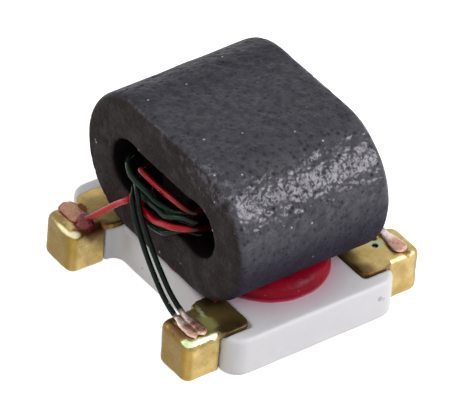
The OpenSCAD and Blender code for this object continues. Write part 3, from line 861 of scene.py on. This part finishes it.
upperWire = {
    "radius": 0.037, "brightFrom": 1.1,
    "footIn": [1.32, -1, (0.4, 2), -1, 0.17, 0.06, 0.5], "bowIn": (0.68, -0.05, 0.5),
    "lipIn": [(-0.54, 1, -0.5), (-0.7, 0.45, -0.7), (-0.86, -0.3, -1.1)],
    "lanes": [(-0.4, -1.65), (-2.1, -1.55), (2.3, -0.9), (-2.4, -0.1), (-1.7, 0.2)],
    "rearLow": [(-0.85, 0, -1.4), (-0.45, 0.6, -1.2), (0, 0.65, -1.05), (0.4, 0.5, -1),
                (0.63, -0.3, -1.4)],
    "frontLow": [(0.62, -1.75, -1.65), (0.3, -1.1, -2.05), (0, -0.95, -2.4), (-0.3, -1.05, -2.25),
                 (-0.55, -1.35, -1.45)],
    "rearHigh": [(-0.62, -1.6, -0.6), (-0.3, -1.2, -0.4), (0, -1.2, -0.35), (0.3, -1.2, -0.25),
                 (0.62, -1.6, -0.15)],
    "frontHigh": [(0.59, -1.75, -0.5), (0.47, -1, -0.55), (0.14, -0.5, -1.25), (-0.12, 0.4, -0.6),
                  (-0.27, 1.05, 0.4), (-0.42, 1.35, 0.8), (-0.66, 1.35, 1), (-0.89, 0.8, 1.2),
                  (-1.15, -0.6, 0.65)],
    "lipOut": [(-1.15, 0.5, 0), (-1, 1.8, -1.5)],
    "footOut": [0, 1, (1, 2.2), -1, 0.18, 0.06, 0.7],
}

lowerWire = {
    "radius": 0.037, "brightFrom": 1.1,
    "footIn": [1.32, -1, (0.3, 3), -1, 0.17, 0.06, 0.5], "bowIn": (0.62, 0.05, 0.6),
    "lipIn": [(-0.58, 1.4, -1.7), (-0.69, 0.75, -1.6), (-0.87, -0.1, -1.85)],
    "lanes": [(-0.1, -2.7), (-1.4, -2.25), (1.1, -2.45), (-1.3, -0.5), (0.75, -1.45)],
    "rearLow": [(-0.8, 0, -2.5), (-0.62, 0.7, -3), (0, 0.75, -3.3), (0.4, 0.7, -3.1),
                (0.58, 0.6, -2.8), (0.72, -0.2, -2.4)],
    "frontLow": [(0.78, -2, -2.6), (0.57, -1.1, -2.65), (0.43, 0.15, -2.75), (0.3, 0.7, -3.25),
                 (0.08, 0.65, -3.85), (-0.16, 0.65, -4.05), (-0.36, 0.65, -4), (-0.5, 0.65, -3.75),
                 (-0.62, 0.6, -3.15), (-0.68, -0.05, -2.6), (-0.73, -1, -2.3)],
    "rearHigh": [(-0.7, -1.1, -2.4), (-0.35, -0.8, -2), (0, -0.7, -1.6), (0.4, -0.6, -0.95),
                 (0.66, -0.8, -0.65), (0.78, -1.2, -0.5)],
    "frontHigh": [(0.78, -0.9, -0.35), (0.6, -0.5, -0.5), (0.42, -0.1, -0.9), (0.2, 0.35, -1.5),
                  (-0.04, 0.3, -1.6), (-0.36, 0.3, -1.7), (-0.58, 0.1, -1.65), (-0.7, -0.4, -1.5)],
    "lipOut": [(-0.72, 0.9, -0.3), (-0.5, 1.9, -0.9)],
    "footOut": [1.32, 1, (0.4, 2.5), -1, 0.22, 0.06, 0.6],
}


def hermite(a, leaving, b, arriving, t):
    return ((2 * t ** 3 - 3 * t ** 2 + 1) * a + (t ** 3 - 2 * t ** 2 + t) * leaving
            + (3 * t ** 2 - 2 * t ** 3) * b + (t ** 3 - t ** 2) * arriving)


def footPoints(foot):
    x, side, (along, out), away = foot[:4]
    pitch, length = winding["pitch"], winding["footLength"]
    return [Vector((x + along * pitch + away * length * (f - 0.5),
                    side * (terminals["shoulderY"] + out * pitch), plateTop + foot[5] / 2))
            for f in (0, 0.5, 1)]


def facePoints(end, points):
    half, pitch = core["holePitch"] / 2, winding["pitch"]
    return [Vector((x * half, end * (faceY + out * pitch), coreMidZ + up * pitch))
            for x, out, up in points]


def holePoints(end, lane):
    # through the left hole from the front (-1), or through the right one from the rear (1)
    half, pitch = core["holePitch"] / 2, winding["pitch"]
    run = faceY - 2 * core["slotDepth"]
    return [Vector((end * half + lane[0] * pitch, end * f * run, coreMidZ + lane[1] * pitch))
            for f in (1, 0.5, -0.5, -1)]


def leadPoints(foot, lip, bow):
    reach = (lip - foot[2]).length
    along = math.copysign(1, foot[2].x - foot[0].x)
    leaving = Vector((along * bow[0], 0, 0)) * reach
    arriving = Vector((along * bow[1], 0, bow[2])) * reach
    return [hermite(foot[2], leaving, lip, arriving, t) for t in (0.2, 0.4, 0.6, 0.8)]


def wireRoute(wire):
    footIn, footOut = footPoints(wire["footIn"]), footPoints(wire["footOut"])
    lipIn, lipOut = facePoints(-1, wire["lipIn"]), facePoints(1, wire["lipOut"])
    route = footIn + leadPoints(footIn, lipIn[0], wire["bowIn"]) + lipIn
    end = -1
    for lane, crossing in zip(wire["lanes"], ("rearLow", "frontLow", "rearHigh", "frontHigh")):
        route += holePoints(end, lane) + facePoints(-end, wire[crossing])
        end = -end
    route += holePoints(end, wire["lanes"][-1]) + lipOut
    return route + leadPoints(footOut, lipOut[-1], winding["bowOut"])[::-1] + footOut[::-1]


def slopeAt(p, i):
    if i == 0 or i == len(p) - 1:
        return p[min(i + 1, len(p) - 1)] - p[max(i - 1, 0)]
    a, b = (p[i] - p[i - 1]).length, (p[i + 1] - p[i]).length
    return ((p[i] - p[i - 1]) * b / a + (p[i + 1] - p[i]) * a / b) / (a + b)


def smoothRoute(p, steps):
    points = []
    for i in range(len(p) - 1):
        span = (p[i + 1] - p[i]).length
        leaving = slopeAt(p, i) * (1 if i == 0 else span)
        arriving = slopeAt(p, i + 1) * (1 if i == len(p) - 2 else span)
        points += [hermite(p[i], leaving, p[i + 1], arriving, k / steps) for k in range(steps)]
    return points + [p[-1]]


def sweep(name, rings):
    # a circle drawn from ring to ring and closed at both ends
    bm = bmesh.new()
    current = bmesh.ops.create_circle(bm, cap_ends=False, radius=1, segments=len(rings[0]))["verts"]
    for v, co in zip(current, rings[0]):
        v.co = co
    rim = bm.edges[:]
    for ring in rings[1:]:
        made = bmesh.ops.extrude_edge_only(bm, edges=rim)["geom"]
        fresh = set(vertsOf(made))
        rim = [e for e in made if isinstance(e, bmesh.types.BMEdge) and fresh.issuperset(e.verts)]
        current = [next(e.other_vert(v) for e in v.link_edges if e.other_vert(v) in fresh)
                   for v in current]
        for v, co in zip(current, ring):
            v.co = co
    bmesh.ops.holes_fill(bm, edges=bm.edges, sides=0)
    bmesh.ops.recalc_face_normals(bm, faces=bm.faces)
    return newObject(name, bm)


def makeWire(name, wire, material, cadNode):
    w, steps, sides, radius = winding, winding["steps"], winding["sides"], wire["radius"]
    centres = smoothRoute(wireRoute(wire), steps)
    last = len(centres) - 1
    ahead = (centres[1] - centres[0]).normalized()
    across = ahead.cross(Vector((0, 1, 0))).normalized()
    rings, masks = [], {"bare": [], "scrapedAndSheen": [], "lead": []}
    for i, centre in enumerate(centres):
        ahead = (centres[min(i + 1, last)] - centres[max(i - 1, 0)]).normalized()
        across = (across - ahead * across.dot(ahead)).normalized()
        beside = ahead.cross(across)
        near = min(i, last - i) / steps  # route points from the nearer tip
        footWidth, footHeight, footStart = (wire["footIn"] if i < last / 2 else wire["footOut"])[4:]
        flat = 1 - ramp(near, *w["flatEnd"])
        tip = mix(math.sqrt(1 - (1 - min(near / w["tipLength"], 1)) ** 2), w["tipWidth"], 1)
        lobe = mix(ramp(near, *w["lobeEnd"]), 1, footStart)
        wide = mix(flat, 1, footWidth / 2 / radius * lobe * tip)
        tall = mix(flat, 1, footHeight / 2 / radius)
        # the start band: burnt on the red wire, a painted highlight on the green ones
        bright = ramp(near, wire["brightFrom"], wire["brightFrom"] + w["brightIn"])
        bright *= 1 - ramp(near, *w["brightEnd"])
        ring = []
        for k in range(sides):
            angle = 2 * math.pi * (k + 0.5) / sides
            spoke = (across * math.cos(angle) + beside * math.sin(angle)) * radius
            spot = centre + Vector((spoke.x, spoke.y * wide, spoke.z * tall))
            if flat > 0:
                spot.z += flat * waves(spot, w["creasesUp"])
                spot.y += flat * waves(spot, w["creasesAside"])
            spot.z = max(spot.z, plateTop - w["sunk"])
            ring.append(spot)
            wearAndSheen = w["edgeWear"] * flat * ramp(abs(spoke.y) / radius, *w["edgeFrom"])
            masks["scrapedAndSheen"].append(max(bright, wearAndSheen))
        rings.append(ring)
        masks["bare"] += [1 - ramp(near + waves(centre, w["bareWobble"]), *w["bareEnd"])] * sides
        masks["lead"] += [1 - ramp(near, *w["leadEnd"])] * sides
    piece = sweep(name, rings)
    storeMasks(piece, masks)
    finish(piece, material, cadNode)


greenEnamel = {
    "coat": (0.010, 0.042, 0.021), "coatDeep": (0.003, 0.011, 0.006), "lead": (0.0035, 0.01, 0.007),
    # the pale start is a painted highlight where the flattened end begins
    "metal": (0.62, 0.36, 0.27), "metalDark": (0.3, 0.12, 0.07), "start": (0.92, 0.8, 0.76),
    "singed": 0.0, "gloss": 0.13,
}

redEnamel = {
    "coat": (0.6, 0.004, 0.014), "coatDeep": (0.36, 0.002, 0.008), "lead": (0.6, 0.004, 0.014),
    "metal": (0.5, 0.27, 0.18), "metalDark": (0.36, 0.17, 0.1), "start": (0.19, 0.011, 0.016),
    "singed": 0.9, "gloss": 0.24,  # the red one is burnt where it starts
}


def makeEnamel(name, wire):
    material, tree, place = newMaterial(name)
    bare, scrapedAndSheen = attributeOf(tree, "bare"), attributeOf(tree, "scrapedAndSheen")
    tones = mottleOf(tree, place, 5.0, 50.0)
    coat = blend(tree, wire["coat"], wire["coatDeep"], tones["Cloud"], 0.7)
    coat = blend(tree, coat, wire["lead"], attributeOf(tree, "lead"), 0.9)
    coat = blend(tree, coat, wire["start"], scrapedAndSheen, wire["singed"])
    # painted shade: darker patches stand for the creases in the pressed copper
    creaseShade = remap(tree, noiseOf(tree, place, 9.0, detail=3, rough=0.6), 0.42, 0.64)
    metal = blend(tree, wire["metal"], wire["metalDark"], creaseShade)
    # painted highlight on the green wires' copper start, burnt colour on the red one
    metal = blend(tree, metal, wire["start"], scrapedAndSheen, 0.8)
    colour = blend(tree, coat, metal, bare)
    nicks = pitsOf(tree, place, 15.0, 0.4, 0.3)
    colour = blend(tree, colour, wire["start"], nicks, scrapedAndSheen)
    # painted shade: little light gets into the holes, so the enamel there is darkened
    holeShadeOnWire = times(tree, useGroup(tree, holeShade, place, Fade=0.12)["Inside"], 0.97)
    colour = blend(tree, colour, (0.06, 0.06, 0.06), holeShadeOnWire, how="MULTIPLY")
    grain = times(tree, tones["Speckle"], between(tree, bare, 0.1, 1.0))
    surface(tree, Base_Color=colour, Roughness=between(tree, bare, 0.13, 0.34), Metallic=bare,
            Normal=bump(tree, grain, 0.006, 0.7), Specular_IOR_Level=wire["gloss"])
    return material


makeCore()
makeBase()
makeTerminal("terminal_fl", -rowX, -1, "terminal_front_left", 1.0, 0.1, marks["frontLeft"])
makeTerminal("terminal_fr", rowX, -1, "terminal_front_right", 2.3, 0.1, marks["frontRight"])
makeTerminal("terminal_rl", -rowX, 1, "terminal_rear_left", 3.1, 0.6)
makeTerminal("terminal_rm", 0, 1, "terminal_rear_middle", 4.7, 0.6)
makeTerminal("terminal_rr", rowX, 1, "terminal_rear_right", 5.9, 0.8, marks["rearRight"])
makeAdhesive()
greenFinish = makeEnamel("green_enamel_wire", greenEnamel)
makeWire("winding_red", redWire, makeEnamel("red_enamel_wire", redEnamel), "wire_red")
makeWire("winding_green_upper", upperWire, greenFinish, "wire_green_upper")
makeWire("winding_green_lower", lowerWire, greenFinish, "wire_green_lower")


stage = {
    "ambient": 0.59,
    "floor": (0.73, 0.73, 0.73), "floorGlow": 0.84, "floorSize": 150,
    "key": {"from": (0.62, 0.49, 0.60), "size": (17, 11), "power": 0.0047,
            "colour": (0.96, 0.935, 1.0)},
    "fill": {"from": (-0.6, -0.62, 0.48), "size": (9, 3.5), "power": 0.0008, "colour": (1, 1, 1)},
    "away": 32,
}


def seenDirectly(tree):
    path = node(tree, "ShaderNodeLightPath").outputs
    either = calc(tree, "MAXIMUM", path["Is Camera Ray"], path["Is Glossy Ray"])
    return calc(tree, "MAXIMUM", either, path["Is Transmission Ray"])


def makeFloor():
    bm = bmesh.new()
    bmesh.ops.create_grid(bm, x_segments=2, y_segments=2, size=stage["floorSize"] * mm)
    floor = newObject("floor", bm)
    material = bpy.data.materials.new("pale_paper")
    tree = emptyTree(material)
    surface(tree, Base_Color=stage["floor"], Roughness=0.9, Emission_Color=(1, 1, 1),
            Emission_Strength=times(tree, seenDirectly(tree), stage["floorGlow"]))
    floor.data.materials.append(material)


def makeWorld():
    world = bpy.data.worlds.new("studio")
    bpy.context.scene.world = world
    tree = emptyTree(world)
    strength = between(tree, seenDirectly(tree), stage["ambient"], 1.0)
    light = node(tree, "ShaderNodeBackground", {"Color": (1, 1, 1), "Strength": strength})
    node(tree, "ShaderNodeOutputWorld", {"Surface": light.outputs[0]})


def makeLamp(name):
    lamp = stage[name]
    light = bpy.data.lights.new(name, "AREA")
    light.shape = "RECTANGLE"
    light.size, light.size_y = [side * mm for side in lamp["size"]]
    light.energy, light.color = lamp["power"], lamp["colour"]
    holder = addObject(name, light)
    towards = Vector(lamp["from"]).normalized()
    holder.location = towards * stage["away"] * mm
    holder.rotation_euler = towards.to_track_quat("Z", "Y").to_euler()


camera = {
    "azimuth": 51.244, "elevation": 38.829, "roll": 4.573, "distance": 94.784,
    "aim": (0.0122, 0.0335, 1.2), "lens": 539.2, "sensor": 36,
}


def makeCamera():
    az, el, roll = [math.radians(camera[k]) for k in ("azimuth", "elevation", "roll")]
    back = Vector((math.sin(az) * math.cos(el), -math.cos(az) * math.cos(el), math.sin(el)))
    right = Vector((math.cos(az), math.sin(az), 0))
    up = back.cross(right)
    rolledRight = right * math.cos(roll) + up * math.sin(roll)
    rolledUp = up * math.cos(roll) - right * math.sin(roll)
    lens = bpy.data.cameras.new("camera")
    lens.lens, lens.sensor_width = camera["lens"], camera["sensor"]
    lens.clip_start, lens.clip_end = 1 * mm, 5
    eye = addObject("camera", lens)
    turn = Matrix((rolledRight, rolledUp, back)).transposed()
    stand = (Vector(camera["aim"]) + back * camera["distance"]) * mm
    eye.matrix_world = Matrix.LocRotScale(stand, turn, None)
    bpy.context.scene.camera = eye


makeFloor()
makeWorld()
makeLamp("key")
makeLamp("fill")
makeCamera()
bpy.context.scene.view_settings.view_transform = "Standard"
print("stage set")
